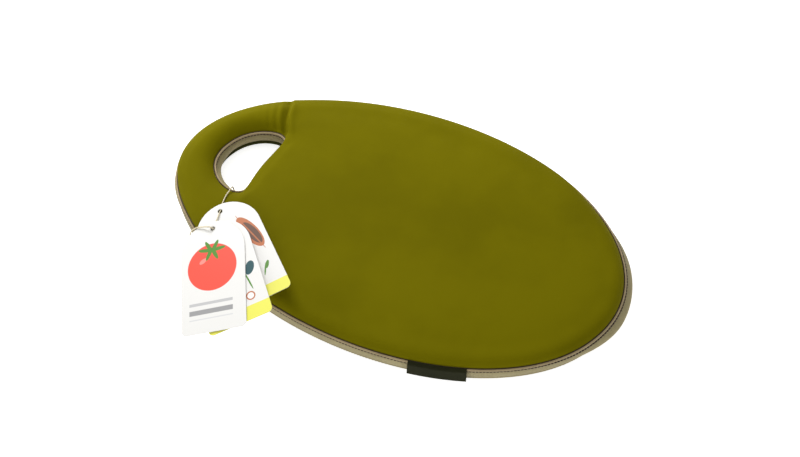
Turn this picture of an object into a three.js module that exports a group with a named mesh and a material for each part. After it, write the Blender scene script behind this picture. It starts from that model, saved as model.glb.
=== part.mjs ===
// Garden kneeling pad: an oval foam cushion in stretch-fabric covers, with a hand hole cut through
// one end, piped seams, a side label, and three hang tags threaded on a loop of string.
//
// Millimetres, +Z up. X runs along the pad with the hand hole at -X, and the origin is on the
// ground under the middle of the pad.
import * as THREE from 'three';

// ---- driving dimensions ----
const LENGTH = 460;               // between the seams at the two ends
const WIDTH = 268.2;              // between the seams at the widest place
const EGG = 0.046;                // how much wider the +X end is than the handle end
const SEAM_TOP = 22.5;            // height of the seam between top cover and gusset
const SEAM_BASE = 8.5;            // height of the seam between base cover and gusset
const CROWN = 11;                 // rise of the top cover above its seam
const CROWN_WIDTH = 30;           // distance from a seam in which the top cover rises
const BELLY_WIDTH = 20;           // distance from a seam in which the base cover falls to the ground
const HANDLE_LIFT = 0.33;         // share of the belly that the base cover loses under the handle
const DENT = 3.4;                 // how far the tag string draws the edge of the handle in
const COVER = 1.8;                // thickness of the two covers
const PIPING = 1.5;               // outer radius of the piping
const GAP = 0.4;                  // clearance between neighbouring layers
const FOAM_SPLIT = 20;            // height where the firm core ends and the soft layer starts
const TAG_WIDTH = 64;
const TAG_THICKNESS = 0.5;
const TAG_EYELET = 2.25;          // radius of the hole for the string
const STRING = 0.65;              // radius of the string

// ---- how finely the curves are divided ----
const SPOKES = 48;                // points round the outline and round the hand hole
const DENSE = 720;                // points used only to measure distances

// ---- outlines ----
// Seam line round the outside: an ellipse that widens a little towards +X, drawn in at the string.
function rimPoint(turn) {
  const angle = 2 * Math.PI * turn;
  const x = (LENGTH / 2) * Math.cos(angle);
  const y = (WIDTH / 2) * Math.sin(angle) * (1 + EGG * Math.cos(angle));
  const dent = DENT * Math.exp(-(((turn - 0.6) / 0.04) ** 2));
  return new THREE.Vector2(x, y).multiplyScalar(1 - dent / (LENGTH / 2));
}

// Seam line round the hand hole: a half-moon, its straighter side towards the cushion.
const HOLE_OUTLINE = new THREE.CatmullRomCurve3([
  [-148.5, 13], [-144, 32], [-141, 49.5], [-149, 54.5], [-168, 50.5], [-186, 36],
  [-196, 14], [-194, -3], [-181, -18], [-163, -23], [-153.5, -17], [-150, 3],
].map(([x, y]) => new THREE.Vector3(x, y, 0)), true);
HOLE_OUTLINE.arcLengthDivisions = DENSE;

// Its turns are shifted so that each one faces the same turn of the rim across the handle.
const HOLE_SHIFT = 0.045;
function holePoint(turn) {
  const along = turn + HOLE_SHIFT;
  const point = HOLE_OUTLINE.getPointAt(along - Math.floor(along));
  return new THREE.Vector2(point.x, point.y);
}

// Point moved sideways from an outline: positive goes out of the material.
function offsetPoint(outline, outward, turn, distance) {
  const step = 1e-4;
  const along = outline(turn + step).sub(outline(turn - step)).normalize();
  const normal = new THREE.Vector2(along.y, -along.x).multiplyScalar(outward);
  return outline(turn).addScaledVector(normal, distance);
}
const RIM = (turn, distance) => offsetPoint(rimPoint, 1, turn, distance);
const HOLE = (turn, distance) => offsetPoint(holePoint, -1, turn, distance);

const samples = (outline) => Array.from({ length: DENSE }, (_, i) => outline(i / DENSE));
const RIM_SAMPLES = samples(rimPoint);
const HOLE_SAMPLES = samples(holePoint);
const distanceTo = (cloud, point) => Math.min(...cloud.map((sample) => sample.distanceTo(point)));

// ---- heights of the covers ----
// Rises from 0 at a seam to 1 at the given distance from it.
function rollOff(distance, width) {
  const left = Math.max(0, 1 - distance / width);
  return 1 - left ** 3;
}
function swell(point, width) {
  return rollOff(distanceTo(RIM_SAMPLES, point), width) * rollOff(distanceTo(HOLE_SAMPLES, point), width);
}
function topHeight(point) {
  return SEAM_TOP + CROWN * swell(point, CROWN_WIDTH);
}
function baseHeight(point) {
  const towardsHandle = THREE.MathUtils.smoothstep(-point.x, 125, 165);
  const belly = SEAM_BASE * (1 - HANDLE_LIFT * towardsHandle);
  return SEAM_BASE - belly * swell(point, BELLY_WIDTH);
}

// ---- closed bodies from loops ----
// Stations say where a loop runs: a distance inside the rim, a distance outside the hole, or a
// share of the way from the first to the second.
const RIM_STEP = 13;
const HOLE_STEP = 10;
const fromRim = (distance) => (turn) => RIM(turn, -distance);
const fromHole = (distance) => (turn) => HOLE(turn, -distance);
const between = (share) => (turn) => RIM(turn, -RIM_STEP).lerp(HOLE(turn, -HOLE_STEP), share);

function loop(station, height) {
  return Array.from({ length: SPOKES }, (_, i) => {
    const point = station(i / SPOKES);
    return new THREE.Vector3(point.x, point.y, height(point));
  });
}

function geometryOf(points, triangles) {
  let volume = 0;
  for (const [a, b, c] of triangles) {
    volume += points[a].dot(points[b].clone().cross(points[c]));
  }
  const facing = volume > 0 ? triangles : triangles.map(([a, b, c]) => [a, c, b]);
  const geometry = new THREE.BufferGeometry();
  geometry.setAttribute('position', new THREE.Float32BufferAttribute(points.flatMap((p) => p.toArray()), 3));
  geometry.setIndex(facing.flat());
  geometry.computeVertexNormals();
  return geometry;
}

// Loops in order round a closed section, joined last to first.
function ringBody(loops) {
  const count = loops[0].length;
  const triangles = [];
  loops.forEach((_, k) => {
    const next = (k + 1) % loops.length;
    for (let i = 0; i < count; i += 1) {
      const j = (i + 1) % count;
      const corners = [k * count + i, next * count + i, next * count + j, k * count + j];
      triangles.push([corners[0], corners[1], corners[2]], [corners[0], corners[2], corners[3]]);
    }
  });
  return geometryOf(loops.flat(), triangles);
}

// A section of [distance out, height] corners swept round one outline.
function sweptRing(outline, section) {
  return ringBody(section.map(([distance, height]) => loop((turn) => outline(turn, distance), () => height)));
}

// ---- sub-parts ----
const part = new THREE.Group();

function addPart(name, geometry, color, roughness) {
  const mesh = new THREE.Mesh(geometry, new THREE.MeshStandardMaterial({ color, roughness, metalness: 0 }));
  mesh.name = name;
  part.add(mesh);
  return mesh;
}

const OLIVE = '#6f690a';
const DARK_OLIVE = '#2f3016';
const TAUPE = '#a59480';
const DARK_TAUPE = '#8f806c';

const EDGE = PIPING + 0.3;        // the covers stop this far inside a seam line
const INNER_EDGE = EDGE + 1;
const OUTSIDE_STATIONS = [
  fromRim(EDGE), fromRim(4.5), fromRim(8.5), fromRim(RIM_STEP), between(0.15), between(0.5),
  between(0.85), fromHole(HOLE_STEP), fromHole(6.5), fromHole(4), fromHole(EDGE),
];
const INSIDE_STATIONS = [
  fromHole(INNER_EDGE), fromHole(7), between(0.85), between(0.5), between(0.15), fromRim(9),
  fromRim(INNER_EDGE),
];

function coverBody(height, inward) {
  return ringBody([
    ...OUTSIDE_STATIONS.map((station) => loop(station, height)),
    ...INSIDE_STATIONS.map((station) => loop(station, (point) => height(point) + inward)),
  ]);
}
addPart('top_cover', coverBody(topHeight, -COVER), OLIVE, 0.85);
addPart('base_cover', coverBody(baseHeight, COVER), DARK_OLIVE, 0.9);

// Foam between the covers: the soft layer lies on the firm core.
function foamBody(height, inward, splitHeight) {
  const flat = () => splitHeight;
  return ringBody([
    ...INSIDE_STATIONS.map((station) => loop(station, (point) => height(point) + inward)),
    loop(fromRim(INNER_EDGE), flat),
    loop(fromHole(INNER_EDGE), flat),
  ]);
}
addPart('memory_foam', foamBody(topHeight, -COVER - GAP, FOAM_SPLIT + GAP / 2), '#e6dcc0', 0.95);
addPart('foam_core', foamBody(baseHeight, COVER + GAP, FOAM_SPLIT - GAP / 2), '#5b5b58', 0.95);

// Gussets: the bands that close the sides between the two piped seams.
const BAND_TOP = SEAM_TOP - PIPING - GAP;
const BAND_BASE = SEAM_BASE + PIPING + GAP;
const BAND_MIDDLE = (BAND_TOP + BAND_BASE) / 2;
const BAND_SECTION = [
  [-0.6, BAND_TOP], [0.9, BAND_MIDDLE], [-0.6, BAND_BASE],
  [-2, BAND_BASE], [-0.8, BAND_MIDDLE], [-2, BAND_TOP],
];
addPart('side_gusset', sweptRing(RIM, BAND_SECTION), TAUPE, 0.8);
addPart('handle_gusset', sweptRing(HOLE, BAND_SECTION), TAUPE, 0.8);

// Piping: a split sleeve of bias tape, open towards the seam, round a thin filler cord.
const SLEEVE_BORE = PIPING - 0.4;
const FILLER = 0.55;
const HALF_SLEEVE = 150;          // degrees each side of straight out
function arcPoints(radius, count, first, last, height) {
  return Array.from({ length: count }, (_, i) => {
    const angle = THREE.MathUtils.degToRad(THREE.MathUtils.lerp(first, last, i / (count - 1)));
    return [0.1 + radius * Math.cos(angle), height + radius * Math.sin(angle)];
  });
}
for (const [edge, outline] of [['rim', RIM], ['handle', HOLE]]) {
  for (const [side, height] of [['top', SEAM_TOP], ['base', SEAM_BASE]]) {
    const sleeve = [
      ...arcPoints(PIPING, 6, -HALF_SLEEVE, HALF_SLEEVE, height),
      ...arcPoints(SLEEVE_BORE, 5, HALF_SLEEVE, -HALF_SLEEVE, height),
    ];
    // the base's own cloth rolls round into the hand hole
    const color = side === 'base' && edge === 'handle' ? DARK_OLIVE : DARK_TAUPE;
    addPart(`piping_${side}_${edge}`, sweptRing(outline, sleeve), color, 0.75);
    const filler = arcPoints(FILLER, 5, 0, 288, height);
    addPart(`piping_cord_${side}_${edge}`, sweptRing(outline, filler), '#efe9dc', 0.9);
  }
}

// Side label: a folded woven tab that hangs from the top seam, tipped a little outwards.
const LABEL = { width: 55, drop: 14.5, thickness: 1.1, turn: -0.1845, tip: 9 };
function labelMesh() {
  const shape = new THREE.Shape();
  const half = LABEL.thickness / 2;
  shape.moveTo(-half, 0);
  shape.lineTo(-half, -LABEL.drop + half);
  shape.absarc(0, -LABEL.drop + half, half, Math.PI, 2 * Math.PI, false);
  shape.lineTo(half, 0);
  shape.closePath();
  const geometry = new THREE.ExtrudeGeometry(shape, { depth: LABEL.width, bevelEnabled: false, curveSegments: 4 });
  geometry.translate(0, 0, -LABEL.width / 2);
  // shape x becomes the way out of the pad, shape y becomes up
  geometry.applyMatrix4(new THREE.Matrix4().makeBasis(
    new THREE.Vector3(1, 0, 0),
    new THREE.Vector3(0, 0, 1),
    new THREE.Vector3(0, -1, 0),
  ));
  geometry.rotateY(-THREE.MathUtils.degToRad(LABEL.tip));
  const seam = rimPoint(LABEL.turn);
  const out = RIM(LABEL.turn, 1).sub(seam);
  geometry.rotateZ(Math.atan2(out.y, out.x));
  const root = RIM(LABEL.turn, PIPING + 0.1 + GAP + half);
  geometry.translate(root.x, root.y, SEAM_TOP - 0.3);
  return geometry;
}
addPart('side_label', labelMesh(), '#15170f', 0.8);

// Hang tags: arched cards that fan out about their eyelets. Each lies above the one behind
// it, and all are tipped down towards the outside of the handle.
const TAG_LENGTH = 117;
const TAG_EYELET_DROP = 7.5;      // from the top of the arch to the eyelet's centre
const TAG_CORNER = 5;
const TIP_HEADING = 30;           // degrees from -X towards -Y: the way that the cards slope down
const TAGS = [
  { name: 'tag_front', eyelet: [-158.67, -77.45, 38.56], tip: 15, turn: 26.2, color: '#fbfaf7' },
  { name: 'tag_middle', eyelet: [-158.4, -77.3, 37.4], tip: 15, turn: 40.3, color: '#f8f6ef' },
  { name: 'tag_rear', eyelet: [-161.4, -56, 36], tip: 9.5, turn: 46.5, color: '#f8f6ef' },
];
function tagGeometry() {
  const half = TAG_WIDTH / 2;
  const archCentre = TAG_EYELET_DROP - half;
  const bottom = TAG_EYELET_DROP - TAG_LENGTH;
  const shape = new THREE.Shape();
  shape.moveTo(half, archCentre);
  shape.absarc(0, archCentre, half, 0, Math.PI, false);
  shape.lineTo(-half, bottom + TAG_CORNER);
  shape.absarc(-half + TAG_CORNER, bottom + TAG_CORNER, TAG_CORNER, Math.PI, 1.5 * Math.PI, false);
  shape.lineTo(half - TAG_CORNER, bottom);
  shape.absarc(half - TAG_CORNER, bottom + TAG_CORNER, TAG_CORNER, 1.5 * Math.PI, 2 * Math.PI, false);
  shape.closePath();
  const eyelet = new THREE.Path();
  eyelet.absarc(0, 0, TAG_EYELET, 0, 2 * Math.PI, true);
  shape.holes.push(eyelet);
  const geometry = new THREE.ExtrudeGeometry(shape, {
    depth: TAG_THICKNESS, bevelEnabled: false, curveSegments: 8,
  });
  return geometry.translate(0, 0, -TAG_THICKNESS / 2);
}
for (const tag of TAGS) {
  const mesh = addPart(tag.name, tagGeometry(), tag.color, 0.5);
  const heading = THREE.MathUtils.degToRad(180 + TIP_HEADING);
  const across = new THREE.Vector3(-Math.sin(heading), Math.cos(heading), 0);
  const tip = new THREE.Quaternion().setFromAxisAngle(across, THREE.MathUtils.degToRad(tag.tip));
  const turn = new THREE.Quaternion().setFromAxisAngle(
    new THREE.Vector3(0, 0, 1),
    THREE.MathUtils.degToRad(tag.turn),
  );
  mesh.quaternion.copy(tip.multiply(turn));
  mesh.position.set(...tag.eyelet);
}

// Tag string: one loop of twisted cord. It starts at the knot outside the handle, passes under the
// handle, comes up through the hand hole, runs under the rear tag, up through the three eyelets and
// back over the front tag to the knot.
const STRING_ROUTE = [
  [-171.6, -91.1, 7.6], [-171, -90.3, 4.4], [-170.4, -87.6, 1.7], [-169.8, -82, 1.1], [-169, -66, 1.1],
  [-168.4, -48, 1.1], [-167.6, -31, 1.1], [-167, -24.5, 1.3], [-166.5, -20, 3], [-166.2, -18.6, 8],
  [-166, -19, 15], [-166, -19.8, 22.5], [-165.8, -22, 27.6], [-165.4, -30, 30.8], [-165, -36.5, 33.1],
  [-164, -45, 34.4], [-162.6, -52, 34.6], [-161.5, -55.2, 35.5], [-161.1, -57.6, 37.1], [-160.4, -62, 37.2],
  [-159.7, -68, 36.6], [-158.7, -74, 36.2], [-158.3, -76.8, 37.2], [-158.8, -77.8, 40], [-161.4, -78.2, 41.2],
  [-165, -78.6, 39.9], [-169.5, -79.4, 37.7], [-174.2, -80.8, 35.7], [-178.2, -83.4, 32.6],
  [-179.8, -86.6, 28.2], [-178.2, -89.2, 23], [-175, -90.8, 18.6],
];
function cordGeometry(route, radius, sides, steps) {
  const section = new THREE.Shape(Array.from({ length: sides }, (_, i) => {
    const angle = (2 * Math.PI * i) / sides;
    return new THREE.Vector2(radius * Math.cos(angle), radius * Math.sin(angle));
  }));
  const path = new THREE.CatmullRomCurve3(route.map((p) => new THREE.Vector3(...p)), false, 'centripetal');
  return new THREE.ExtrudeGeometry(section, { extrudePath: path, steps, bevelEnabled: false });
}
addPart('tag_string', cordGeometry(STRING_ROUTE, STRING, 8, 76), '#e9dfc3', 0.8);

// Knot that closes the loop.
const knot = new THREE.SphereGeometry(2.1, 10, 8);
knot.scale(1, 1, 1.25);
addPart('string_knot', knot, '#e9dfc3', 0.8).position.set(-173, -91.6, 12.8);

export default part;
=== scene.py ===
"""Looks for the garden kneeling pad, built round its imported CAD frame.

Metres, +Z up, in the frame of the CAD: X along the pad with the hand hole at -X. The outlines and
the covers start from the same formulas as the CAD source, divided more finely. A cloth simulation
then swells the cushion, and the crease, the seams and the stitches are added to it.
"""
import math

import bpy
import numpy as np
from mathutils import Matrix, Quaternion, Vector
from mathutils.geometry import tessellate_polygon
from mathutils.kdtree import KDTree


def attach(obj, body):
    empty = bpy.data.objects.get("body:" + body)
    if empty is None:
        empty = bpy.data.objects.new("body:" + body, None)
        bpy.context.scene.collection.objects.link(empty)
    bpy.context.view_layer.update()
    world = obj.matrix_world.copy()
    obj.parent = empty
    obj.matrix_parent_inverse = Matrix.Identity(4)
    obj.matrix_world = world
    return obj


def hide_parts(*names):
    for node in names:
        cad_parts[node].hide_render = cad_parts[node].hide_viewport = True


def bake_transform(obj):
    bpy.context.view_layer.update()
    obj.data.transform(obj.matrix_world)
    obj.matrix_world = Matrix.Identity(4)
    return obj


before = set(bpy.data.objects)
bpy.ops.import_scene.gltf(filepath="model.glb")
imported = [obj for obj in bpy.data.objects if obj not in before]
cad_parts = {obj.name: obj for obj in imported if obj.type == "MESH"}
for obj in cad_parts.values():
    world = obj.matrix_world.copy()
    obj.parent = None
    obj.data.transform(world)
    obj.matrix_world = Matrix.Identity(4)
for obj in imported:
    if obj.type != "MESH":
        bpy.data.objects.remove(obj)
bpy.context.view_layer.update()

MM = 0.001

# ---- the pad's driving dimensions, in millimetres ----
LENGTH, WIDTH = 460.0, 268.2
EGG = 0.046                       # how much the pad widens towards +X
SEAM_TOP, SEAM_BASE = 22.5, 8.5
CROWN, CROWN_WIDTH = 11.0, 30.0
START_CROWN = 8.2                 # the cushion's crown before the cloth simulation swells it to CROWN
FULL_WIDTH, FULL_POWER = 26.0, 5  # the cushion's fuller edge; the handle keeps CROWN_WIDTH and a cube
BELLY_WIDTH = 20.0                # how far in the base's edge turns up
HANDLE_LIFT = 0.33                # the share of SEAM_BASE that the handle's base is lifted by
DENT = 3.4                        # how far the tag string draws the edge of the handle in
END_INSET = 1.2                   # the top seam's extra inset at the right end, where the gusset leans out
COVER = 1.8
PIPING, PIPING_LOOK = 1.5, 1.15   # the piping's radius in the CAD, and the radius that shows
HOLE_SHIFT = 0.045                # where the turns of the hand hole start, as a share of its length
HOLE_POINTS = [
    (-148.5, 13), (-144, 32), (-141, 49.5), (-149, 54.5), (-168, 50.5), (-186, 36),
    (-196, 14), (-194, -3), (-181, -18), (-163, -23), (-153.5, -17), (-150, 3),
]
STRING_ROUTE = [
    (-171.6, -91.1, 7.6), (-171, -90.3, 4.4), (-170.4, -87.6, 1.7), (-169.8, -82, 1.1),
    (-169, -66, 1.1), (-168.4, -48, 1.1), (-167.6, -31, 1.1), (-167, -24.5, 1.3),
    (-166.5, -20, 3), (-166.2, -18.6, 8), (-166, -19, 15), (-166, -19.8, 22.5),
    (-165.8, -22, 27.6), (-165.4, -30, 30.8), (-165, -36.5, 33.1), (-164, -45, 34.4),
    (-162.6, -52, 34.6), (-161.5, -55.2, 35.5), (-161.1, -57.6, 37.1), (-160.4, -62, 37.2),
    (-159.7, -68, 36.6), (-158.7, -74, 36.2), (-158.3, -76.8, 37.2), (-158.8, -77.8, 40),
    (-161.4, -78.2, 41.2), (-165, -78.6, 39.9), (-169.5, -79.4, 37.7), (-174.2, -80.8, 35.7),
    (-178.2, -83.4, 32.6), (-179.8, -86.6, 28.2), (-178.2, -89.2, 23), (-175, -90.8, 18.6),
]


# ---- curves ----
def catmull_rom(points, closed, per_span):
    """Centripetal Catmull-Rom through the points, as three.js draws it."""
    pts = np.array(points, float)
    count = len(pts)
    spans = count if closed else count - 1
    line = []
    for k in range(spans):
        if closed:
            p0, p1, p2, p3 = (pts[(k + j) % count] for j in (-1, 0, 1, 2))
        else:
            p1, p2 = pts[k], pts[k + 1]
            p0 = pts[k - 1] if k > 0 else 2 * pts[0] - pts[1]
            p3 = pts[k + 2] if k + 2 < count else 2 * pts[-1] - pts[-2]
        d0, d1, d2 = (math.sqrt(np.linalg.norm(b - a)) for a, b in ((p0, p1), (p1, p2), (p2, p3)))
        m1 = ((p1 - p0) / d0 - (p2 - p0) / (d0 + d1) + (p2 - p1) / d1) * d1
        m2 = ((p2 - p1) / d1 - (p3 - p1) / (d1 + d2) + (p3 - p2) / d2) * d1
        for i in range(per_span):
            t = i / per_span
            line.append(
                (2 * t**3 - 3 * t**2 + 1) * p1 + (t**3 - 2 * t**2 + t) * m1
                + (3 * t**2 - 2 * t**3) * p2 + (t**3 - t**2) * m2
            )
    if not closed:
        line.append(pts[-1])
    return np.array(line)


def run_along(line):
    """The length from the first point of a line to each of its points."""
    return np.concatenate([[0], np.cumsum(np.linalg.norm(np.diff(line, axis=0), axis=-1))])


HOLE_LINE = catmull_rom(HOLE_POINTS, True, 200)
HOLE_LOOP = np.vstack([HOLE_LINE, HOLE_LINE[:1]])
HOLE_RUN = run_along(HOLE_LOOP)


def smooth(value, low, high):
    """0 up to low, 1 from high on, with an even turn between. low may be the larger of the two."""
    t = np.clip((value - low) / (high - low), 0, 1)
    return t * t * (3 - 2 * t)


def rim_point(turn):
    """A point of the outer seam line: an egg, drawn in by the tag string and inset at its right end."""
    turn = np.asarray(turn, float)
    angle = 2 * np.pi * turn
    x = LENGTH / 2 * np.cos(angle)
    y = WIDTH / 2 * np.sin(angle) * (1 + EGG * np.cos(angle))
    dent = DENT * np.exp(-(((turn % 1 - 0.6) / 0.04) ** 2))
    inset = END_INSET * smooth(x, 150, 226) * smooth(y, -105, -30)
    return np.stack([x, y], -1) * (1 - (dent + inset) / (LENGTH / 2))[..., None]


def hole_point(turn):
    """A point of the hand hole's seam line, evenly along its length."""
    along = ((np.asarray(turn, float) + HOLE_SHIFT) % 1.0) * HOLE_RUN[-1]
    return np.stack([np.interp(along, HOLE_RUN, HOLE_LOOP[:, k]) for k in (0, 1)], -1)


def offset_point(outline, outward, turn, distance):
    """Points moved sideways from an outline: a positive distance goes out of the pad."""
    step = 8e-4
    along = outline(turn + step) - outline(turn - step)
    along = along / np.linalg.norm(along, axis=-1, keepdims=True)
    normal = outward * np.stack([along[..., 1], -along[..., 0]], -1)
    return outline(turn) + normal * np.asarray(distance)[..., None]


def rim(turn, distance):
    return offset_point(rim_point, 1, turn, distance)


def hole(turn, distance):
    return offset_point(hole_point, -1, turn, distance)


DENSE = np.arange(1440) / 1440
RIM_CLOUD, HOLE_CLOUD = rim_point(DENSE), hole_point(DENSE)


def distance_to(cloud, points):
    """The distance from each point to an outline, in portions that keep the memory small."""
    flat = points.reshape(-1, 2)
    nearest = [np.sqrt(((part[:, None] - cloud[None]) ** 2).sum(-1).min(1))
               for part in np.array_split(flat, max(1, len(flat) // 2000))]
    return np.concatenate(nearest).reshape(points.shape[:-1])


# ---- heights of the covers ----
def roll_off(distance, width, power=3):
    """0 at a seam, 1 from width inside it on."""
    return 1 - np.maximum(0, 1 - distance / width) ** power


MEETING_Y = (40, 52, 62, 75, 104)
MEETING_X = (-152, -141.5, -144.5, -149.5, -156)


def cushion(points):
    """0 on the handle, 1 on the cushion, changing along the line where they meet."""
    meeting = np.interp(points[..., 1], MEETING_Y, MEETING_X)
    return smooth(points[..., 0] - meeting, -5, 5)


def full_rim(points):
    """0 where the rim's edge is slack, under the hang tags, and 1 everywhere else."""
    return np.maximum(cushion(points), smooth(points[..., 1], -50, -10))


# The crease where the handle meets the cushion, from the outer edge to the corner of the hand hole.
CREASE = catmull_rom([(-156, 104), (-152, 89), (-148.5, 73), (-143.5, 61), (-140, 51)], False, 30)
CREASE_DIP, CREASE_STEP, CREASE_LIP = 3.6, 1.8, 0.9
FOLD, FOLD_APART = 0.4, 7.5


def crease_height(points, from_hole):
    """Lowers the handle side of the crease and gathers the cloth there."""
    flat = points.reshape(-1, 2)
    gap = flat[:, None] - CREASE[None]
    nearest = np.sqrt((gap**2).sum(-1))
    index = nearest.argmin(1)
    far = nearest.min(1).reshape(points.shape[:-1])
    side = gap[np.arange(len(flat)), index, 0].reshape(points.shape[:-1])
    run = (index / (len(CREASE) - 1)).reshape(points.shape[:-1])
    ends = smooth(run, 0.0, 0.2) * 0.6 + 0.4
    dip = -CREASE_DIP * np.exp(-((far / np.where(side < 0, 3.8, 1.4)) ** 2)) * ends
    low_side = -CREASE_STEP * smooth(-side, -1.2, 1.8) * np.exp(-((far / 17) ** 2)) * ends
    lip = CREASE_LIP * smooth(side, 0, 2) * np.exp(-(((far - 4) / 3.5) ** 2)) * ends
    handle_side = smooth(-side, 0, 3) * np.exp(-((far / 20) ** 2))
    folds = FOLD * np.sin(far * 2 * np.pi / FOLD_APART + 2.2 * run) * handle_side * ends
    return (dip + low_side + lip + folds) * smooth(from_hole, 0, 5)


def swell_at(points):
    """The crown's share at each point, 0 at the seams and 1 in the middle, with the distances to
    the rim and to the hole."""
    from_rim, from_hole = distance_to(RIM_CLOUD, points), distance_to(HOLE_CLOUD, points)
    swell = 1
    for away, share in ((from_rim, full_rim(points)), (from_hole, cushion(points))):
        slack, full = roll_off(away, CROWN_WIDTH), roll_off(away, FULL_WIDTH, FULL_POWER)
        swell = swell * (slack * (1 - share) + full * share)
    return swell, from_rim, from_hole


def left_to_rise(points):
    """The part of the crown left to the simulation: none on the handle, which hardly swells."""
    return (CROWN - START_CROWN) * smooth(points[..., 0], -165, -125)


def start_height(points):
    """The top cover before the simulation."""
    return SEAM_TOP + (CROWN - left_to_rise(points)) * swell_at(points)[0]


def top_height(points):
    """The top cover with the crease and the rise that rise_of gives, which is chosen further down."""
    swell, from_rim, from_hole = swell_at(points)
    creased = crease_height(points, from_hole) * smooth(from_rim, 0, 7)
    before = SEAM_TOP + (CROWN - left_to_rise(points)) * swell
    return before + rise_of(points, swell) + creased


def base_height(points):
    """The base cover: flat on the ground, lifted under the handle and up to the base seams."""
    from_rim, from_hole = distance_to(RIM_CLOUD, points), distance_to(HOLE_CLOUD, points)
    belly = SEAM_BASE * (1 - HANDLE_LIFT * smooth(-points[..., 0], 125, 165))
    return SEAM_BASE - belly * roll_off(from_rim, BELLY_WIDTH) * roll_off(from_hole, BELLY_WIDTH)


# ---- meshes from loops ----
def new_mesh(name, points, faces, cloth=None, smooth_shading=True):
    """A piece from points in millimetres. cloth is its cloth_mm attribute: two or three numbers for
    each point, or for each corner of each face."""
    mesh = bpy.data.meshes.new(name)
    mesh.from_pydata((np.asarray(points) * MM).tolist(), [], faces)
    if cloth is not None:
        domain = "CORNER" if len(cloth) == len(mesh.loops) else "POINT"
        attribute = mesh.attributes.new("cloth_mm", "FLOAT_VECTOR", domain)
        filled = np.zeros((len(cloth), 3))
        filled[:, : np.shape(cloth)[1]] = cloth
        attribute.data.foreach_set("vector", filled.astype(np.float32).ravel())
    mesh.update()
    if smooth_shading:
        mesh.shade_smooth()
    piece = bpy.data.objects.new(name, mesh)
    bpy.context.collection.objects.link(piece)
    return piece


def quad_faces(rows, columns, close_rows, close_columns=True):
    """Quads of a grid of rows x columns points, each way closed or open."""
    faces = []
    for r in range(rows if close_rows else rows - 1):
        for c in range(columns if close_columns else columns - 1):
            r1, c1 = (r + 1) % rows, (c + 1) % columns
            faces.append((r * columns + c, r1 * columns + c, r1 * columns + c1, r * columns + c1))
    return faces


def inside_out(points, faces):
    """True if quads face into the shape that they close: its signed volume is negative."""
    a, b, c, d = (points[np.array(faces)[:, k]] for k in range(4))
    return (a * np.cross(b, c)).sum() + (a * np.cross(c, d)).sum() < 0


def ring_piece(name, loops, corners=None):
    """Closed loops in order round a closed section, joined last to first. corners is cloth_mm at
    the four corners of each face."""
    grid = np.array(loops)
    points, faces = grid.reshape(-1, 3), quad_faces(len(grid), grid.shape[1], True)
    if inside_out(points, faces):
        faces = [face[::-1] for face in faces]
        corners = None if corners is None else corners[:, ::-1]
    return new_mesh(name, points, faces, None if corners is None else corners.reshape(-1, 2))


def at_height(flat, height):
    """Flat points with a height added, one for all or one for each."""
    return np.concatenate([flat, np.broadcast_to(height, flat.shape[:-1])[..., None]], -1)


def swept_ring(name, outline, section, spokes, lean=lambda flat, height: 0):
    """A closed section of (distance out, height) swept round an outline, leaning further out where
    lean says. Its cloth_mm is (along, round)."""
    turns = np.arange(spokes) / spokes
    line = outline(turns, 0)
    loops = [at_height(outline(turns, distance + lean(line, height)), height)
             for distance, height in section]
    along = run_along(outline(np.append(turns, 1), 0))
    around = run_along(np.array([*section, section[0]]))
    corners = np.empty((len(section), spokes, 4, 2))
    for corner, (up, on) in enumerate(((0, 0), (1, 0), (1, 1), (0, 1))):
        corners[:, :, corner, 0] = along[on:spokes + on]
        corners[:, :, corner, 1] = around[up:len(section) + up, None]
    return ring_piece(name, loops, corners.reshape(-1, 4, 2))


def frames_along(line):
    """Two directions across a line at each of its points, which follow it without twisting."""
    tangent = np.gradient(line, axis=0)
    tangent /= np.linalg.norm(tangent, axis=1, keepdims=True)
    normal, frames = np.cross(tangent[0], [0.31, 0.72, 0.62]), []
    for t in tangent:
        normal = normal - t * normal.dot(t)
        normal = normal / np.linalg.norm(normal)
        frames.append((normal, np.cross(t, normal)))
    return frames


def tube(line, radius, sides):
    """The points and faces of a round tube along a line, closed at both ends."""
    line = np.asarray(line, float)
    angles = np.arange(sides) * 2 * np.pi / sides
    rings = [p + radius * (np.outer(np.cos(angles), u) + np.outer(np.sin(angles), v))
             for p, (u, v) in zip(line, frames_along(line))]
    faces = [f[::-1] for f in quad_faces(len(rings), sides, False)]
    faces.append(tuple(range(sides))[::-1])
    faces.append(tuple(range((len(rings) - 1) * sides, len(rings) * sides)))
    return np.concatenate(rings), faces


def joined(name, parts):
    """One piece from several (points, faces) shells."""
    points, faces, start = [], [], 0
    for shell, shell_faces in parts:
        points.append(shell)
        faces += [tuple(i + start for i in face) for face in shell_faces]
        start += len(shell)
    return new_mesh(name, np.concatenate(points), faces)


# ---- camera ----
camera_data = bpy.data.cameras.new("camera")
camera_data.lens = 66.2
camera_data.sensor_width = 36
camera_data.clip_start = 0.05
camera = bpy.data.objects.new("camera", camera_data)
camera.location = (0.2789, -0.6765, 1.2518)
camera.rotation_mode = "QUATERNION"
camera.rotation_quaternion = Vector((-0.1923, 0.4727, -0.8600)).to_track_quat("-Z", "Y")
bpy.context.collection.objects.link(camera)
bpy.context.scene.camera = camera


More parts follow.
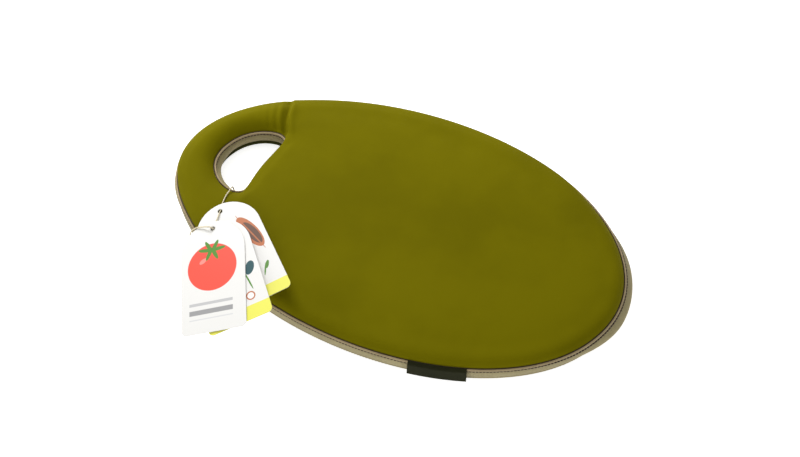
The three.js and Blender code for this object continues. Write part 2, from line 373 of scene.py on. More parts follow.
# ---- materials ----
class Nodes:
    """A material, with short names for the nodes that it is built from."""

    def __init__(self, name):
        self.material = bpy.data.materials.new(name)
        self.material.use_nodes = True
        self.nodes = self.material.node_tree.nodes
        self.links = self.material.node_tree.links
        self.shader = self.nodes["Principled BSDF"]

    def put(self, kind, inputs=(), **settings):
        node = self.nodes.new(kind)
        for key, value in settings.items():
            setattr(node, key, value)
        for key, value in dict(inputs).items():
            if isinstance(value, bpy.types.NodeSocket):
                self.links.new(value, node.inputs[key])
            else:
                node.inputs[key].default_value = value
        return node

    def math(self, operation, *values, clamp=False):
        node = self.put("ShaderNodeMath", enumerate(values), operation=operation, use_clamp=clamp)
        return node.outputs[0]

    def noise(self, vector, scale, detail=3.0, rough=0.55):
        inputs = {"Vector": vector, "Scale": scale, "Detail": detail, "Roughness": rough}
        return self.put("ShaderNodeTexNoise", inputs).outputs["Fac"]

    def ramp(self, value, low, high):
        inputs = {"Value": value, "From Min": low, "From Max": high}
        return self.put("ShaderNodeMapRange", inputs, interpolation_type="SMOOTHSTEP").outputs["Result"]

    def mix(self, factor, a, b):
        node = self.put("ShaderNodeMix", data_type="RGBA")
        for socket, value in ((node.inputs[0], factor), (node.inputs[6], a), (node.inputs[7], b)):
            if isinstance(value, bpy.types.NodeSocket):
                self.links.new(value, socket)
            elif socket.type == "RGBA":
                socket.default_value = (*value, 1)
            else:
                socket.default_value = value
        return node.outputs[2]

    def place(self, attribute=None):
        """Position in metres, or a piece's cloth coordinates in millimetres."""
        if attribute:
            return self.put("ShaderNodeAttribute", attribute_name=attribute).outputs["Vector"]
        return self.put("ShaderNodeTexCoord").outputs["Object"]

    def parts(self, vector):
        return self.put("ShaderNodeSeparateXYZ", {0: vector}).outputs

    def bump(self, height, distance, strength=1.0):
        inputs = {"Height": height, "Distance": distance, "Strength": strength}
        self.links.new(self.put("ShaderNodeBump", inputs).outputs[0], self.shader.inputs["Normal"])

    def set(self, **values):
        for key, value in values.items():
            socket = self.shader.inputs[key.replace("_", " ")]
            if isinstance(value, bpy.types.NodeSocket):
                self.links.new(value, socket)
            else:
                socket.default_value = (*value, 1) if socket.type == "RGBA" else value
        return self


def waves(n, coordinate, rate):
    """A sine from 0 to 1, with rate turns in each unit of the coordinate."""
    turned = n.math("MULTIPLY", coordinate, 2 * math.pi * rate)
    return n.math("MULTIPLY_ADD", n.math("SINE", turned), 0.5, 0.5)


def neoprene(name, deep, light, sheen):
    """Stretch jersey on foam rubber: fine knit loops, faint clouding and a soft sheen."""
    n = Nodes(name)
    place = n.place()
    x, y, _ = n.parts(place)
    clouds = n.noise(place, 9.0, 4.0)
    speckle = n.noise(place, 900.0, 2.0, 0.7)
    grain = n.math("MULTIPLY", n.math("SUBTRACT", speckle, 0.5), 0.5)
    tone = n.math("ADD", n.ramp(clouds, 0.32, 0.7), grain)
    color = n.mix(n.math("MULTIPLY", tone, 1.0, clamp=True), deep, light)
    # knit: loops 0.9 mm apart in rows 0.7 mm apart, as turns in a metre
    loops = n.math("MULTIPLY", waves(n, x, 1100.0), waves(n, y, 1400.0))
    height = n.math("ADD", n.math("MULTIPLY", loops, 0.5), n.math("MULTIPLY", speckle, 0.8))
    n.bump(height, 0.00016, 0.55)
    rough = n.math("MULTIPLY_ADD", clouds, 0.1, 0.78)
    return n.set(Base_Color=color, Roughness=rough, Specular_IOR_Level=0.1, Specular_Tint=sheen,
                 Sheen_Weight=0.12, Sheen_Roughness=0.4, Sheen_Tint=sheen).material


def woven(name, deep, light, ribs, cross, depth, rough=0.8, gloss=0.15):
    """Woven tape. ribs and cross are turns per millimetre along and round the piece."""
    n = Nodes(name)
    cloth = n.place("cloth_mm")
    along, around, _ = n.parts(cloth)
    wobble = n.math("MULTIPLY_ADD", n.noise(n.place(), 260.0, 2.0), 0.5, along)
    rib = waves(n, wobble, ribs)
    weave = n.math("MULTIPLY", rib, waves(n, around, cross))
    grime = n.noise(n.place(), 38.0, 4.0)
    tone = n.math("ADD", n.math("MULTIPLY", rib, 0.6), n.math("MULTIPLY", n.ramp(grime, 0.3, 0.7), 0.4))
    color = n.mix(n.math("MULTIPLY", tone, 1.0, clamp=True), deep, light)
    n.bump(n.math("ADD", rib, n.math("MULTIPLY", weave, 0.5)), depth)
    return n.set(Base_Color=color, Roughness=rough, Specular_IOR_Level=gloss,
                 Sheen_Weight=gloss, Sheen_Roughness=0.5).material


def fibrous(name, deep, light, depth=0.0002, scale=1500.0):
    """Thread, filler and string: a soft mottled fibre."""
    n = Nodes(name)
    fibre = n.noise(n.place(), scale, 4.0, 0.7)
    n.bump(fibre, depth)
    return n.set(Base_Color=n.mix(n.ramp(fibre, 0.35, 0.65), deep, light), Roughness=0.85,
                 Specular_IOR_Level=0.2, Sheen_Weight=0.2).material


def foam(name, deep, light, cell):
    """Foam: round cells, darker in their hollows."""
    n = Nodes(name)
    cells = n.put("ShaderNodeTexVoronoi", {"Vector": n.place(), "Scale": 1 / cell}).outputs["Distance"]
    n.bump(cells, 0.0006)
    return n.set(Base_Color=n.mix(n.ramp(cells, 0.1, 0.6), deep, light), Roughness=0.95).material


OLIVE = neoprene("neoprene_olive", (0.114, 0.100, 0.0006), (0.139, 0.122, 0.001), (0.8, 0.7, 0.02))
# The base's dark neoprene: its near-black colour is partly painted shade, for the pad's underside and the
# roll along the hand hole's base.
SHADED_DARK_OLIVE = neoprene("neoprene_dark", (0.022, 0.024, 0.005), (0.034, 0.036, 0.008), (0.8, 0.8, 0.3))
GUSSET = woven("gusset_taupe", (0.25, 0.206, 0.10), (0.40, 0.343, 0.172), 0.85, 1.4, 0.0003)
PIPING_TAPE = woven("piping_taupe", (0.30, 0.23, 0.12), (0.50, 0.39, 0.22), 2.2, 1.6, 0.00015)
THREAD = fibrous("thread_brown", (0.022, 0.012, 0.006), (0.06, 0.035, 0.018))
FILLER = fibrous("piping_filler", (0.55, 0.50, 0.42), (0.8, 0.76, 0.68))
STRING = fibrous("string_cream", (0.55, 0.47, 0.29), (0.83, 0.76, 0.58), 0.0001, 2600.0)
SOFT_FOAM = foam("memory_foam", (0.55, 0.48, 0.33), (0.8, 0.72, 0.55), 0.0012)
FIRM_FOAM = foam("firm_foam", (0.05, 0.05, 0.045), (0.11, 0.11, 0.1), 0.0008)


def dress(piece, material, body, slot_name, *nodes):
    """Gives a new piece its material, the body it rides on and the nodes it stands for; slot_name is not
    used.
    """
    piece.data.materials.clear()
    piece.data.materials.append(material)
    if body:
        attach(piece, body)
    if nodes:
        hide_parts(*nodes)
    return piece


# ---- tag string and its knot: the cords come first ----
STRING_LINE = catmull_rom(STRING_ROUTE, False, 24)
STRANDS, LAY, STRAND_LIE, STRAND_RADIUS = 3, 3.6, 0.34, 0.31


def strands(line, count, lay, lie, radius):
    """Strands twisted round a line: each lies lie from it and turns once in lay millimetres."""
    run, frames = run_along(line), frames_along(line)
    made = []
    for k in range(count):
        angles = 2 * np.pi * (run / lay + k / count)
        helix = [p + lie * (math.cos(a) * u + math.sin(a) * v)
                 for p, a, (u, v) in zip(line, angles, frames)]
        made.append(tube(helix, radius, 7))
    return made


tag_string = joined("tag_string_twist", strands(STRING_LINE, STRANDS, LAY, STRAND_LIE, STRAND_RADIUS))
dress(tag_string, STRING, "pad", "string_cream", "tag_string")

# The knot is an overhand knot: a trefoil of the same string, drawn tight.
KNOT_AT, KNOT_SCALE, KNOT_STRAND = np.array([-173.0, -91.6, 12.8]), (0.47, 0.47, 0.75), 0.62
knot_turn = np.linspace(0, 2 * np.pi, 90)
trefoil = np.stack([
    np.sin(knot_turn) + 2 * np.sin(2 * knot_turn),
    np.cos(knot_turn) - 2 * np.cos(2 * knot_turn),
    -1.6 * np.sin(3 * knot_turn),
], -1)
knot = joined("string_knot_tied", [tube(KNOT_AT + trefoil * KNOT_SCALE, KNOT_STRAND, 8)])
dress(knot, STRING, "pad", "string_cream", "string_knot")


# ---- covers and foam ----
EDGE = 1.3                        # the covers turn down this far inside a seam line
RIM_REACH, HOLE_REACH = 9.5, 6.5  # the edge stations end this far inside the rim and the hole
RIM_BULGE, HOLE_BULGE = 2.6, 3.8  # how far the cushion hangs out over its piping
HOLE_MIDDLE = np.array([-168.0, 15.0])
CREASE_TURN = 0.355               # where the crease meets the rim
SPOKES, SHARES = 420, 120         # how finely the covers are divided, round them and across them


def bulge(inset, reach, most):
    """How far the cushion's swollen edge hangs out over the piping."""
    return most * smooth(inset, EDGE, EDGE + 1.7) * (1 - smooth(inset, EDGE + 2.3, reach))


def stations(edge, shares):
    """Flat loops from the rim seam across the pad to the hand hole's seam."""
    steps = [edge + extra for extra in (0, 0.3, 0.6, 0.9, 1.2, 1.6, 2.1, 2.8, 3.7, 4.8, 6.2)]
    found = [("rim", d) for d in steps if d < RIM_REACH - 1]
    found += [("between", s) for s in np.linspace(0, 1, shares)]
    return found + [("hole", d) for d in steps[::-1] if d < HOLE_REACH - 1]


def spoke_turns(count):
    """Turns round the rim, over three times closer together where the crease is, and the turns of
    the hole on the same rays from its middle."""
    fine = np.linspace(0, 1, 2001)
    density = 1 + 2.5 * np.exp(-(((fine - CREASE_TURN) / 0.035) ** 2))
    share = np.concatenate([[0], np.cumsum((density[1:] + density[:-1]) / 2)])
    turns = np.interp(np.arange(count) / count, share / share[-1], fine)
    around = np.linspace(-0.5, 1.5, 4001)
    ray_of = [np.unwrap(np.arctan2(*(outline(around) - HOLE_MIDDLE).T[::-1]))
              for outline in (rim_point, hole_point)]
    return turns, np.interp(np.interp(turns, around, ray_of[0]), ray_of[1], around)


def station_line(station, turns, bulging):
    """A flat loop, and the same loop with the cushion's edges pushed out by bulging times the bulge."""
    kind, value = station
    rim_turns, hole_turns = turns
    if kind == "between":
        flat = rim(rim_turns, -RIM_REACH) * (1 - value) + hole(hole_turns, -HOLE_REACH) * value
        return flat, flat
    if kind == "rim":
        flat = rim(rim_turns, -value)
        far_side = smooth(flat[:, 1] - 0.35 * flat[:, 0], 20, 70)
        return flat, rim(rim_turns, bulge(value, RIM_REACH, RIM_BULGE * bulging) * far_side - value)
    flat = hole(hole_turns, -value)
    return flat, hole(hole_turns, bulge(value, HOLE_REACH, HOLE_BULGE * bulging) * cushion(flat) - value)


def layer(name, spokes, shares, edge, outer, inner, bulging=0):
    """A closed layer between an outer and an inner surface, both functions of flat points."""
    turns = spoke_turns(spokes)
    face = [station_line(s, turns, bulging) for s in stations(edge, shares)]
    back = [station_line(s, turns, 0)[0] for s in stations(edge + 0.6, max(12, shares // 3))]
    loops = [at_height(pushed, outer(flat)) for flat, pushed in face]
    loops += [at_height(flat, inner(flat)) for flat in back[::-1]]
    return ring_piece(name, loops)


VOXEL, PRESSURE, FRAMES = 5.0, 4.0, 20
NEAREST, BLUR = 10, 5.0           # the rise is averaged over this many points, this many mm wide


def simulated_rise():
    """Swells a remeshed copy of the pad under pressure, its sides and base held, and gives where
    its top points were and how far each rose, in millimetres."""
    body = layer("swelling_pad", 200, 50, 0.3, start_height, base_height)
    remesh = body.modifiers.new("remesh", "REMESH")
    remesh.mode, remesh.voxel_size = "VOXEL", VOXEL * MM
    bpy.context.view_layer.update()
    depsgraph = bpy.context.evaluated_depsgraph_get()
    body.data = bpy.data.meshes.new_from_object(body.evaluated_get(depsgraph))
    body.modifiers.clear()
    start = np.array([v.co for v in body.data.vertices]) / MM
    edge = np.minimum(distance_to(RIM_CLOUD, start[:, :2]), distance_to(HOLE_CLOUD, start[:, :2]))
    held = body.vertex_groups.new(name="held")
    held.add(np.nonzero((start[:, 2] < SEAM_TOP - 1) | (edge < 3))[0].tolist(), 1.0, "REPLACE")
    cloth = body.modifiers.new("swell", "CLOTH")
    cloth.settings.quality = 6
    cloth.settings.mass = 0.3
    cloth.settings.tension_stiffness = cloth.settings.compression_stiffness = 20
    cloth.settings.bending_stiffness = 1.5
    cloth.settings.use_pressure = True
    cloth.settings.uniform_pressure_force = PRESSURE
    cloth.settings.vertex_group_mass = "held"
    cloth.settings.effector_weights.gravity = 0
    cloth.collision_settings.use_collision = False
    cloth.point_cache.frame_start, cloth.point_cache.frame_end = 1, FRAMES
    for step in range(1, FRAMES + 1):
        bpy.context.scene.frame_set(step)
    swollen = body.evaluated_get(bpy.context.evaluated_depsgraph_get()).to_mesh()
    end = np.array([v.co for v in swollen.vertices]) / MM
    bpy.data.objects.remove(body, do_unlink=True)
    bpy.context.scene.frame_set(1)
    top = start[:, 2] > SEAM_TOP + 0.5
    return start[top, :2], end[top, 2] - start[top, 2]


def settled(places, rise):
    """A function for the rise anywhere, softly capped so that the pad keeps its thickness."""
    cap = CROWN - START_CROWN
    capped = cap * (1 - np.exp(-np.maximum(rise, 0) / (1.1 * cap)))
    tree = KDTree(len(places))
    for i, (x, y) in enumerate(places):
        tree.insert((x, y, 0), i)
    tree.balance()

    def rise_at(points, swell):
        flat = points.reshape(-1, 2)
        found = np.empty(len(flat))
        for k, (x, y) in enumerate(flat):
            near = tree.find_n((x, y, 0), NEAREST)
            weights = [math.exp(-((d / BLUR) ** 2)) + 1e-9 for _, _, d in near]
            found[k] = sum(w * capped[i] for w, (_, i, _) in zip(weights, near)) / sum(weights)
        return found.reshape(points.shape[:-1]) * np.minimum(1, swell * 1.6)
    return rise_at


def plain_rise(points, swell):
    """Stands in for the simulation while other pieces are being worked on."""
    return left_to_rise(points) * swell


rise_of = plain_rise
rise_of = settled(*simulated_rise())


def tucked(height, seam, lift):
    """The cover's height, turned down into the groove beside the piping at its two edges."""
    def shaped(points):
        edge = np.minimum(distance_to(RIM_CLOUD, points), distance_to(HOLE_CLOUD, points))
        tuck = 1 - smooth(edge, EDGE - 0.1, EDGE + 0.9)
        return height(points) * (1 - tuck) + (seam + lift) * tuck
    return shaped


def shifted(height, by):
    return lambda points: height(points) + by


def level(height):
    return lambda points: np.full(points.shape[:-1], height)


top_shape, base_shape = tucked(top_height, SEAM_TOP, 0.1), tucked(base_height, SEAM_BASE, -0.1)
top_cover = layer("pad_top_cover", SPOKES, SHARES, EDGE, top_shape, shifted(top_height, -COVER), 1)
base_cover = layer("pad_base_cover", SPOKES, SHARES // 2, EDGE, base_shape,
                   shifted(base_height, COVER))
dress(top_cover, OLIVE, "pad", "neoprene_olive", "top_cover")
dress(base_cover, SHADED_DARK_OLIVE, "pad", "neoprene_dark", "base_cover")

FOAM_SPLIT, GAP, FOAM_EDGE = 20.0, 0.4, 3.4
soft_top, firm_base = shifted(top_height, -COVER - GAP), shifted(base_height, COVER + GAP)
memory_foam = layer("pad_memory_foam", 180, 40, FOAM_EDGE, soft_top, level(FOAM_SPLIT + GAP / 2))
foam_core = layer("pad_foam_core", 180, 40, FOAM_EDGE, firm_base, level(FOAM_SPLIT - GAP / 2))
dress(memory_foam, SOFT_FOAM, "pad", "memory_foam", "memory_foam")
dress(foam_core, FIRM_FOAM, "pad", "firm_foam", "foam_core")


# ---- gussets, piping and stitches ----
BAND_TOP, BAND_BASE, BAND_THICKNESS = SEAM_TOP - PIPING_LOOK - 0.1, SEAM_BASE + 1.25, 1.2
BAND_MIDDLE, BAND_HALF = (BAND_TOP + BAND_BASE) / 2, (BAND_TOP - BAND_BASE) / 2
FILLER_RADIUS, ROLL_RADIUS, SEAM_SHADE_RADIUS = 0.55, 2.2, 0.6
RIGHT_BELLY, LEFT_BELLY = 7.0, 2.2
HOLE_BELLY, HOLE_FAR_BELLY = 4.0, 0.8
STRING_X, STRING_PINCH = -166, 5  # where the tag string crosses the hole's edge, and how wide it pulls


def band_out(height):
    """How far the bulging gusset stands outside the seam line at a height. It ends fuller at its
    base, where it runs out over the piping."""
    share = (height - BAND_MIDDLE) / BAND_HALF
    return 1.05 - (1.6 if share > 0 else 0.25) * share**2


def belly(flat, height):
    """How much further the gusset bellies out at the two ends of the pad, most near its base."""
    share = (BAND_MIDDLE - height) / BAND_HALF
    ends = RIGHT_BELLY * smooth(flat[:, 0], 160, 222) * smooth(flat[:, 1], -80, -10)
    ends = ends + LEFT_BELLY * smooth(-flat[:, 0], 200, 226)
    return ends * smooth(share, -1.3, 0.5) * (1 - 0.6 * smooth(share, 0.5, 1))


def hole_belly(flat, height):
    """The gusset of the hand hole bellies into the hole, except where the tag string pinches it."""
    share = (BAND_MIDDLE - height) / BAND_HALF
    pinched = np.exp(-(((flat[:, 0] - STRING_X) / STRING_PINCH) ** 2)) * smooth(-flat[:, 1], 0, 10)
    most = HOLE_BELLY + (HOLE_FAR_BELLY - HOLE_BELLY) * smooth(flat[:, 1], 10, 40)
    most = most * (1 - 0.9 * pinched)
    return most * (1 - min(abs(share), 1) ** 2.5)


def circle(radius, count, out, height):
    """A round section for swept_ring, with its middle at (out, height)."""
    angles = 2 * np.pi * np.arange(count) / count
    return [(out + radius * math.cos(a), height + radius * math.sin(a)) for a in angles]


band_face = [(band_out(z), z) for z in np.linspace(BAND_TOP, BAND_BASE, 13)]
band_back = [(band_out(z) - BAND_THICKNESS, z) for z in np.linspace(BAND_BASE, BAND_TOP, 5)]
EDGES = (("rim", "side_gusset", rim, 960, belly), ("handle", "handle_gusset", hole, 420, hole_belly))
for edge, node, outline, spokes, lean in EDGES:
    band = swept_ring(f"pad_{node}", outline, band_face + band_back, spokes, lean)
    dress(band, GUSSET, "pad", "gusset_taupe", node)
    for side, height in (("top", SEAM_TOP), ("base", SEAM_BASE)):
        section, look, slot_name = circle(PIPING_LOOK, 14, 0, height), PIPING_TAPE, "piping_taupe"
        if side == "base" and edge == "rim":
            look = GUSSET
        if side == "base" and edge == "handle":
            # a roll of the base's own cloth covers the piping; its near-black colour is partly painted
            # shade
            section = circle(ROLL_RADIUS, 14, 0.6, height - 0.4)
            look, slot_name = SHADED_DARK_OLIVE, "neoprene_dark"
        core = circle(FILLER_RADIUS, 8, 0.1, height)
        sleeve = swept_ring(f"pad_piping_{side}_{edge}", outline, section, spokes)
        filler = swept_ring(f"pad_filler_{side}_{edge}", outline, core, spokes // 2)
        dress(sleeve, look, "pad", slot_name, f"piping_{side}_{edge}")
        dress(filler, FILLER, "pad", "piping_filler", f"piping_cord_{side}_{edge}")


STITCH_PITCH, STITCH_LENGTH, STITCH_RADIUS = 3.2, 2.9, 0.8
STITCH_TAPER = (0.35, 0.9, 1, 0.9, 0.35)


def stitch_row(outline, height):
    """Small lens-shaped stitches along an outline, further out where the gusset bellies."""
    turns = np.linspace(0, 1, 4001)
    out = 0.75 + 0.9 * smooth(outline(turns, 0)[:, 0], 160, 215)
    run = run_along(outline(turns, out))
    count, sides = round(run[-1] / STITCH_PITCH), 6
    taper = np.repeat(STITCH_TAPER, sides)[:, None]
    made = []
    for k in range(count):
        along = run[-1] * k / count + np.linspace(0, STITCH_LENGTH, len(STITCH_TAPER))
        at = np.interp(along, run, turns)
        line = at_height(outline(at, np.interp(at, turns, out)), height)
        points, faces = tube(line, STITCH_RADIUS, sides)
        centre = np.repeat(line, sides, axis=0)
        made.append((centre + (points - centre) * taper, faces))
    return made


for edge, _, outline, *_ in EDGES:
    stitches = stitch_row(outline, BAND_TOP - 0.2)
    # A continuous ring of dark thread in the groove between the cover and the piping: partly the seam's
    # stitching, partly painted shade of the groove.
    seam = swept_ring(f"pad_seam_and_shade_{edge}", outline, circle(SEAM_SHADE_RADIUS, 10, -1.0, SEAM_TOP + 0.75), 900)
    dress(joined(f"pad_stitches_{edge}", stitches), THREAD, "pad", "piping_taupe")
    dress(seam, THREAD, "pad", "piping_taupe")


# ---- side label ----
LABEL_TURN, LABEL_WIDTH, LABEL_DROP, LABEL_TIP = -0.1845, 55.0, 14.5, math.radians(9)
LABEL_FOLD = 0.5                  # the radius of the fold at its lower edge
LABEL_ROOT = (PIPING + 0.1 + GAP + 0.55, SEAM_TOP - 0.3)
LABEL_DOWN = (math.sin(LABEL_TIP), -math.cos(LABEL_TIP))


def label_profile():
    """(distance out, height) down the front layer, round the fold and up the back layer."""
    over = [(-1.5, 22.9), (-1.15, 23.6), (-0.5, 24.1), (0.4, 24.3), (1.35, 24.0), (2.2, 23.2)]
    front = [(LABEL_ROOT[0] + LABEL_FOLD + LABEL_DOWN[0] * s, LABEL_ROOT[1] + LABEL_DOWN[1] * s)
             for s in np.linspace(0, LABEL_DROP - LABEL_FOLD - 0.1, 12)]
    middle = [LABEL_ROOT[k] + LABEL_DOWN[k] * (LABEL_DROP - LABEL_FOLD) for k in (0, 1)]
    fold = [(middle[0] + LABEL_FOLD * math.cos(a), middle[1] + LABEL_FOLD * math.sin(a))
            for a in np.linspace(-0.3, -math.pi + 0.3, 5)]
    back = [(d - 2 * LABEL_FOLD, z) for d, z in front[::-1]]
    under = [(1.6, 22.9), (1.15, 23.4), (0.35, 23.8), (-0.4, 23.65), (-0.9, 23.2), (-1.2, 22.6)]
    return over + front + fold + back + under


def label_mesh(name):
    """The label's section swept along the rim, closed at its two side edges."""
    section = label_profile()
    across = np.linspace(-LABEL_WIDTH / 2, LABEL_WIDTH / 2, 45)
    turn_per_mm = 1e-4 / np.linalg.norm(rim_point(LABEL_TURN + 1e-4) - rim_point(LABEL_TURN))
    turns = LABEL_TURN + across * turn_per_mm
    lines, cloth = [], []
    for (out, height), along in zip(section, run_along(np.array(section))):
        lines.append(at_height(rim(turns, out), height))
        cloth += [(s, along) for s in across]
    rows, columns = len(section), len(across)
    faces = quad_faces(rows, columns, True, False)
    faces.append(tuple(r * columns for r in range(rows)))
    faces.append(tuple(r * columns + columns - 1 for r in range(rows))[::-1])
    return new_mesh(name, np.concatenate(lines), faces, cloth)


label = label_mesh("side_label_woven")
bevel = label.modifiers.new("edges", "BEVEL")
bevel.width, bevel.segments, bevel.limit_method = 0.1 * MM, 1, "ANGLE"
LABEL_CLOTH = woven("label_black", (0.010, 0.011, 0.003), (0.022, 0.023, 0.008), 1.9, 1.3, 0.00012,
                    gloss=0.04)
dress(label, LABEL_CLOTH, None, "label_black", "side_label")
seam_point = rim(LABEL_TURN, 1.2)
hinge_point = rim(LABEL_TURN, LABEL_ROOT[0] + 0.3)
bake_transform(label)


# ---- hang tags ----
TAG_WIDTH, TAG_LENGTH, TAG_THICKNESS = 64.0, 117.0, 0.5
EYELET, EYELET_DROP, CORNER, SOFTENED = 2.25, 7.5, 5.0, 0.12
TAG_HEADING = math.radians(210)   # the tags all tip down towards this direction


def arc(x, y, radius, first, last, count):
    """Points of an arc from the first to the last angle, in degrees."""
    angles = np.radians(np.linspace(first, last, count))
    return [(x + radius * math.cos(a), y + radius * math.sin(a)) for a in angles]


def tag_outline(inset):
    """A card with a round top and two rounded corners, drawn inset by a distance."""
    half, bottom = TAG_WIDTH / 2, EYELET_DROP - TAG_LENGTH
    points = arc(0, EYELET_DROP - half, half - inset, 0, 180, 49)
    points += arc(-half + CORNER, bottom + CORNER, CORNER - inset, 180, 270, 9)
    return points + arc(half - CORNER, bottom + CORNER, CORNER - inset, 270, 360, 9)


def tag_mesh(name):
    """A card with softened edges and an eyelet; its cloth_mm attribute is its own x, y, z."""
    half = TAG_THICKNESS / 2
    layers = [(SOFTENED, -half), (0, -half + SOFTENED), (0, half - SOFTENED), (SOFTENED, half)]
    outer = [[(x, y, z) for x, y in tag_outline(inset)] for inset, z in layers]
    inner = [[(x, y, z) for x, y in arc(0, 0, EYELET + inset, 0, 360, 33)[:-1]] for inset, z in layers]
    count, holes = len(outer[0]), len(inner[0])
    points = [p for ring in outer + inner for p in ring]
    faces = []
    # the card's outer edge and the eyelet's wall
    for k in range(3):
        for size, start, flip in ((count, 0, False), (holes, 4 * count, True)):
            for i in range(size):
                a, b = start + k * size + i, start + k * size + (i + 1) % size
                face = (a, b, b + size, a + size)
                faces.append(face[::-1] if flip else face)
    # the back and the front of the card, round the eyelet
    for k, up in ((0, False), (3, True)):
        loops = [[Vector(p) for p in outer[k]], [Vector(p) for p in inner[k]]]
        index = [k * count + i for i in range(count)] + [4 * count + k * holes + i for i in range(holes)]
        for face in tessellate_polygon(loops):
            corners = tuple(index[i] for i in face)
            a, b, c = (Vector(points[i]).xy for i in corners)
            turned = (b - a).cross(c - a) > 0
            faces.append(corners if turned == up else corners[::-1])
    return new_mesh(name, points, faces, np.array(points), smooth_shading=False)


def box_mask(n, x, y, low, high, soft=0.15):
    """1 inside a rectangle of the card, softened over a fraction of a millimetre."""
    sides = [n.ramp(x, low[0] - soft, low[0] + soft), n.ramp(x, high[0] + soft, high[0] - soft),
             n.ramp(y, low[1] - soft, low[1] + soft), n.ramp(y, high[1] + soft, high[1] - soft)]
    mask = sides[0]
    for side in sides[1:]:
        mask = n.math("MULTIPLY", mask, side)
    return mask


def oval_mask(n, x, y, centre, radii, turn=0.0, soft=0.012):
    """1 inside an ellipse of the card."""
    c, s = math.cos(math.radians(turn)), math.sin(math.radians(turn))
    dx, dy = n.math("SUBTRACT", x, centre[0]), n.math("SUBTRACT", y, centre[1])
    u = n.math("ADD", n.math("MULTIPLY", dx, c), n.math("MULTIPLY", dy, s))
    v = n.math("SUBTRACT", n.math("MULTIPLY", dy, c), n.math("MULTIPLY", dx, s))
    u, v = n.math("DIVIDE", u, radii[0]), n.math("DIVIDE", v, radii[1])
    far = n.math("SQRT", n.math("ADD", n.math("MULTIPLY", u, u), n.math("MULTIPLY", v, v)))
    return n.ramp(far, 1 + soft, 1 - soft)


RED, PINK, LEAF, LIME = (0.78, 0.07, 0.04), (0.86, 0.24, 0.2), (0.07, 0.22, 0.015), (0.76, 0.74, 0.10)
SOIL, CLAY, TEAL = (0.10, 0.035, 0.012), (0.45, 0.13, 0.035), (0.01, 0.07, 0.08)
LIGHT_GREY, GREY, DARK_GREY = (0.62,) * 3, (0.48,) * 3, (0.30,) * 3
CARD_SHADE, CARD_WHITE, PAPER = (0.725, 0.715, 0.685), (0.765, 0.76, 0.735), (0.80, 0.79, 0.765)


def tag_card(name, prints):
    """White coated card with plain printed shapes on its front: (mask, its settings, colour)."""
    n = Nodes(name)
    local = n.place("cloth_mm")
    x, y, z = n.parts(local)
    fibre = n.noise(local, 1.6, 3.0)
    color = n.mix(fibre, CARD_SHADE, CARD_WHITE)
    front = n.math("GREATER_THAN", z, TAG_THICKNESS / 2 - SOFTENED - 0.01)
    for mask_of, settings, ink in prints:
        mask = mask_of(n, x, y, *settings)
        color = n.mix(n.math("MULTIPLY", mask, front), color, ink)
    # a darker grey ring round the eyelet
    eyelet_ring = oval_mask(n, x, y, (0, 0), (3.3, 3.3))
    color = n.mix(n.math("MULTIPLY", eyelet_ring, 0.35), color, (0.35, 0.34, 0.31))
    n.bump(fibre, 0.00002, 0.4)
    return n.set(Base_Color=color, Roughness=0.42, Specular_IOR_Level=0.4).material


def oval(centre, radii, ink, turn=0.0):
    return oval_mask, (centre, radii, turn), ink


def box(low, high, ink):
    return box_mask, (low, high), ink


def stripe(top):
    """The lime stripe across the foot of a card, which runs out past its edges."""
    return box((-40, -120), (40, top), LIME)


def sepal(degrees):
    """One leaf of the tomato's green star."""
    a = math.radians(degrees)
    return oval((-1 + 6.5 * math.cos(a), -23.5 + 4.2 * math.sin(a)), (7.2, 1.9), LEAF, degrees)


# A tomato with a leafy top, and plain bars where a real card has its wording.
FRONT_PRINT = [
    oval((-1, -41.5), (24.5, 25), RED), oval((-10, -34), (4.2, 2.2), PINK, 35),
    *[sepal(degrees) for degrees in (8, 62, 118, 172, 245, 295)],
    box((-24, -80.5), (19, -77.5), GREY), box((-24, -90), (19, -85), DARK_GREY),
    box((-24, -95.4), (19, -94.2), LIGHT_GREY),
]
# A young plant: leaves, a stem and a ring at its foot.
MIDDLE_PRINT = [
    stripe(-95), oval((22.5, -56.5), (7.5, 4.5), TEAL, 62), oval((13, -50), (6, 3), LEAF, 130),
    oval((18.5, -70), (0.8, 10), LEAF, 10), oval((16, -85.5), (4.6, 4.6), CLAY),
    oval((16, -85.5), (3.3, 3.3), PAPER),
]
# A fallen leaf with its midrib, and a sprig.
REAR_PRINT = [
    stripe(-97), oval((18, -36), (7.5, 21), CLAY, 16), oval((19.5, -38), (5, 15), SOIL, 16),
    oval((18, -36), (0.7, 25), CLAY, 16), oval((16, -81), (0.8, 7), LEAF, -25),
    oval((19.5, -77), (4.5, 1.6), LEAF, 60),
]
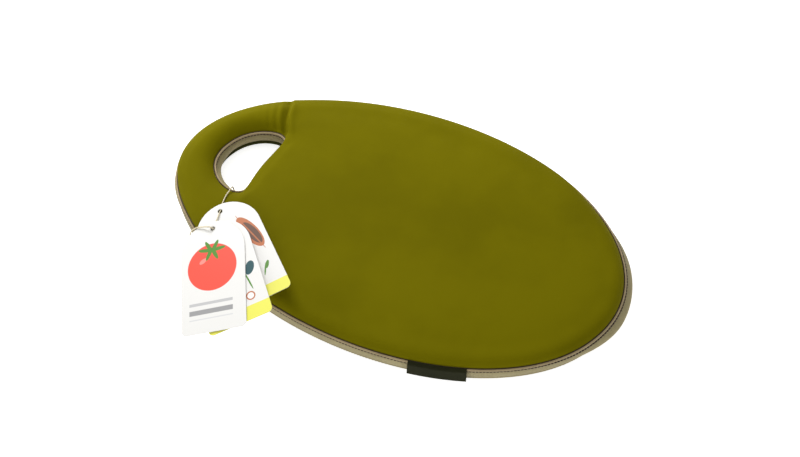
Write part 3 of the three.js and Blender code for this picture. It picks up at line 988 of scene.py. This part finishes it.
# node, body, eyelet's middle, tip in degrees, turn in its own plane in degrees, print
TAGS = [
    ("tag_front", "front_tag", (-158.67, -77.45, 38.56), 15, 26.2, FRONT_PRINT),
    ("tag_middle", "middle_tag", (-158.4, -77.3, 37.4), 15, 40.3, MIDDLE_PRINT),
    ("tag_rear", "rear_tag", (-161.4, -56, 36), 9.5, 46.5, REAR_PRINT),
]
tip_axis = Vector((-math.sin(TAG_HEADING), math.cos(TAG_HEADING), 0))
for node, body, eyelet, tip, turn, prints in TAGS:
    card = tag_mesh(f"{node}_card")
    spin = Quaternion(tip_axis, math.radians(tip)) @ Quaternion((0, 0, 1), math.radians(turn))
    card.data.transform(Matrix.Translation(Vector(eyelet) * MM) @ spin.to_matrix().to_4x4())
    dress(card, tag_card(node, prints), body, "card_white", node)


# ---- floor and light ----
FLOOR_HALF, FLOOR_DROP = 6000.0, 0.3
floor_corners = [(x * FLOOR_HALF, y * FLOOR_HALF, -FLOOR_DROP)
                 for x, y in ((-1, -1), (1, -1), (1, 1), (-1, 1))]
floor = new_mesh("floor", floor_corners, [(0, 1, 2, 3)], smooth_shading=False)
floor_look = Nodes("floor_white")
floor_look.set(Base_Color=(0.9, 0.9, 0.9), Roughness=0.9, Specular_IOR_Level=0.0,
               Emission_Color=(1, 1, 1), Emission_Strength=0.75)
floor.data.materials.append(floor_look.material)

world = bpy.data.worlds.new("studio")
world.use_nodes = True
world.node_tree.nodes["Background"].inputs["Color"].default_value = (1, 1, 1, 1)
world.node_tree.nodes["Background"].inputs["Strength"].default_value = 0.6
bpy.context.scene.world = world
bpy.context.scene.view_settings.view_transform = "Standard"


def area_light(name, place, size, power):
    light = bpy.data.lights.new(name, "AREA")
    light.energy, light.size = power, size
    lamp = bpy.data.objects.new(name, light)
    lamp.location = place
    lamp.rotation_mode = "QUATERNION"
    lamp.rotation_quaternion = (-Vector(place)).to_track_quat("-Z", "Y")
    bpy.context.collection.objects.link(lamp)


area_light("key", (-0.8, 0.65, 0.72), 0.55, 16.5)
area_light("fill", (-0.3, -1.6, 0.45), 1.2, 6.5)
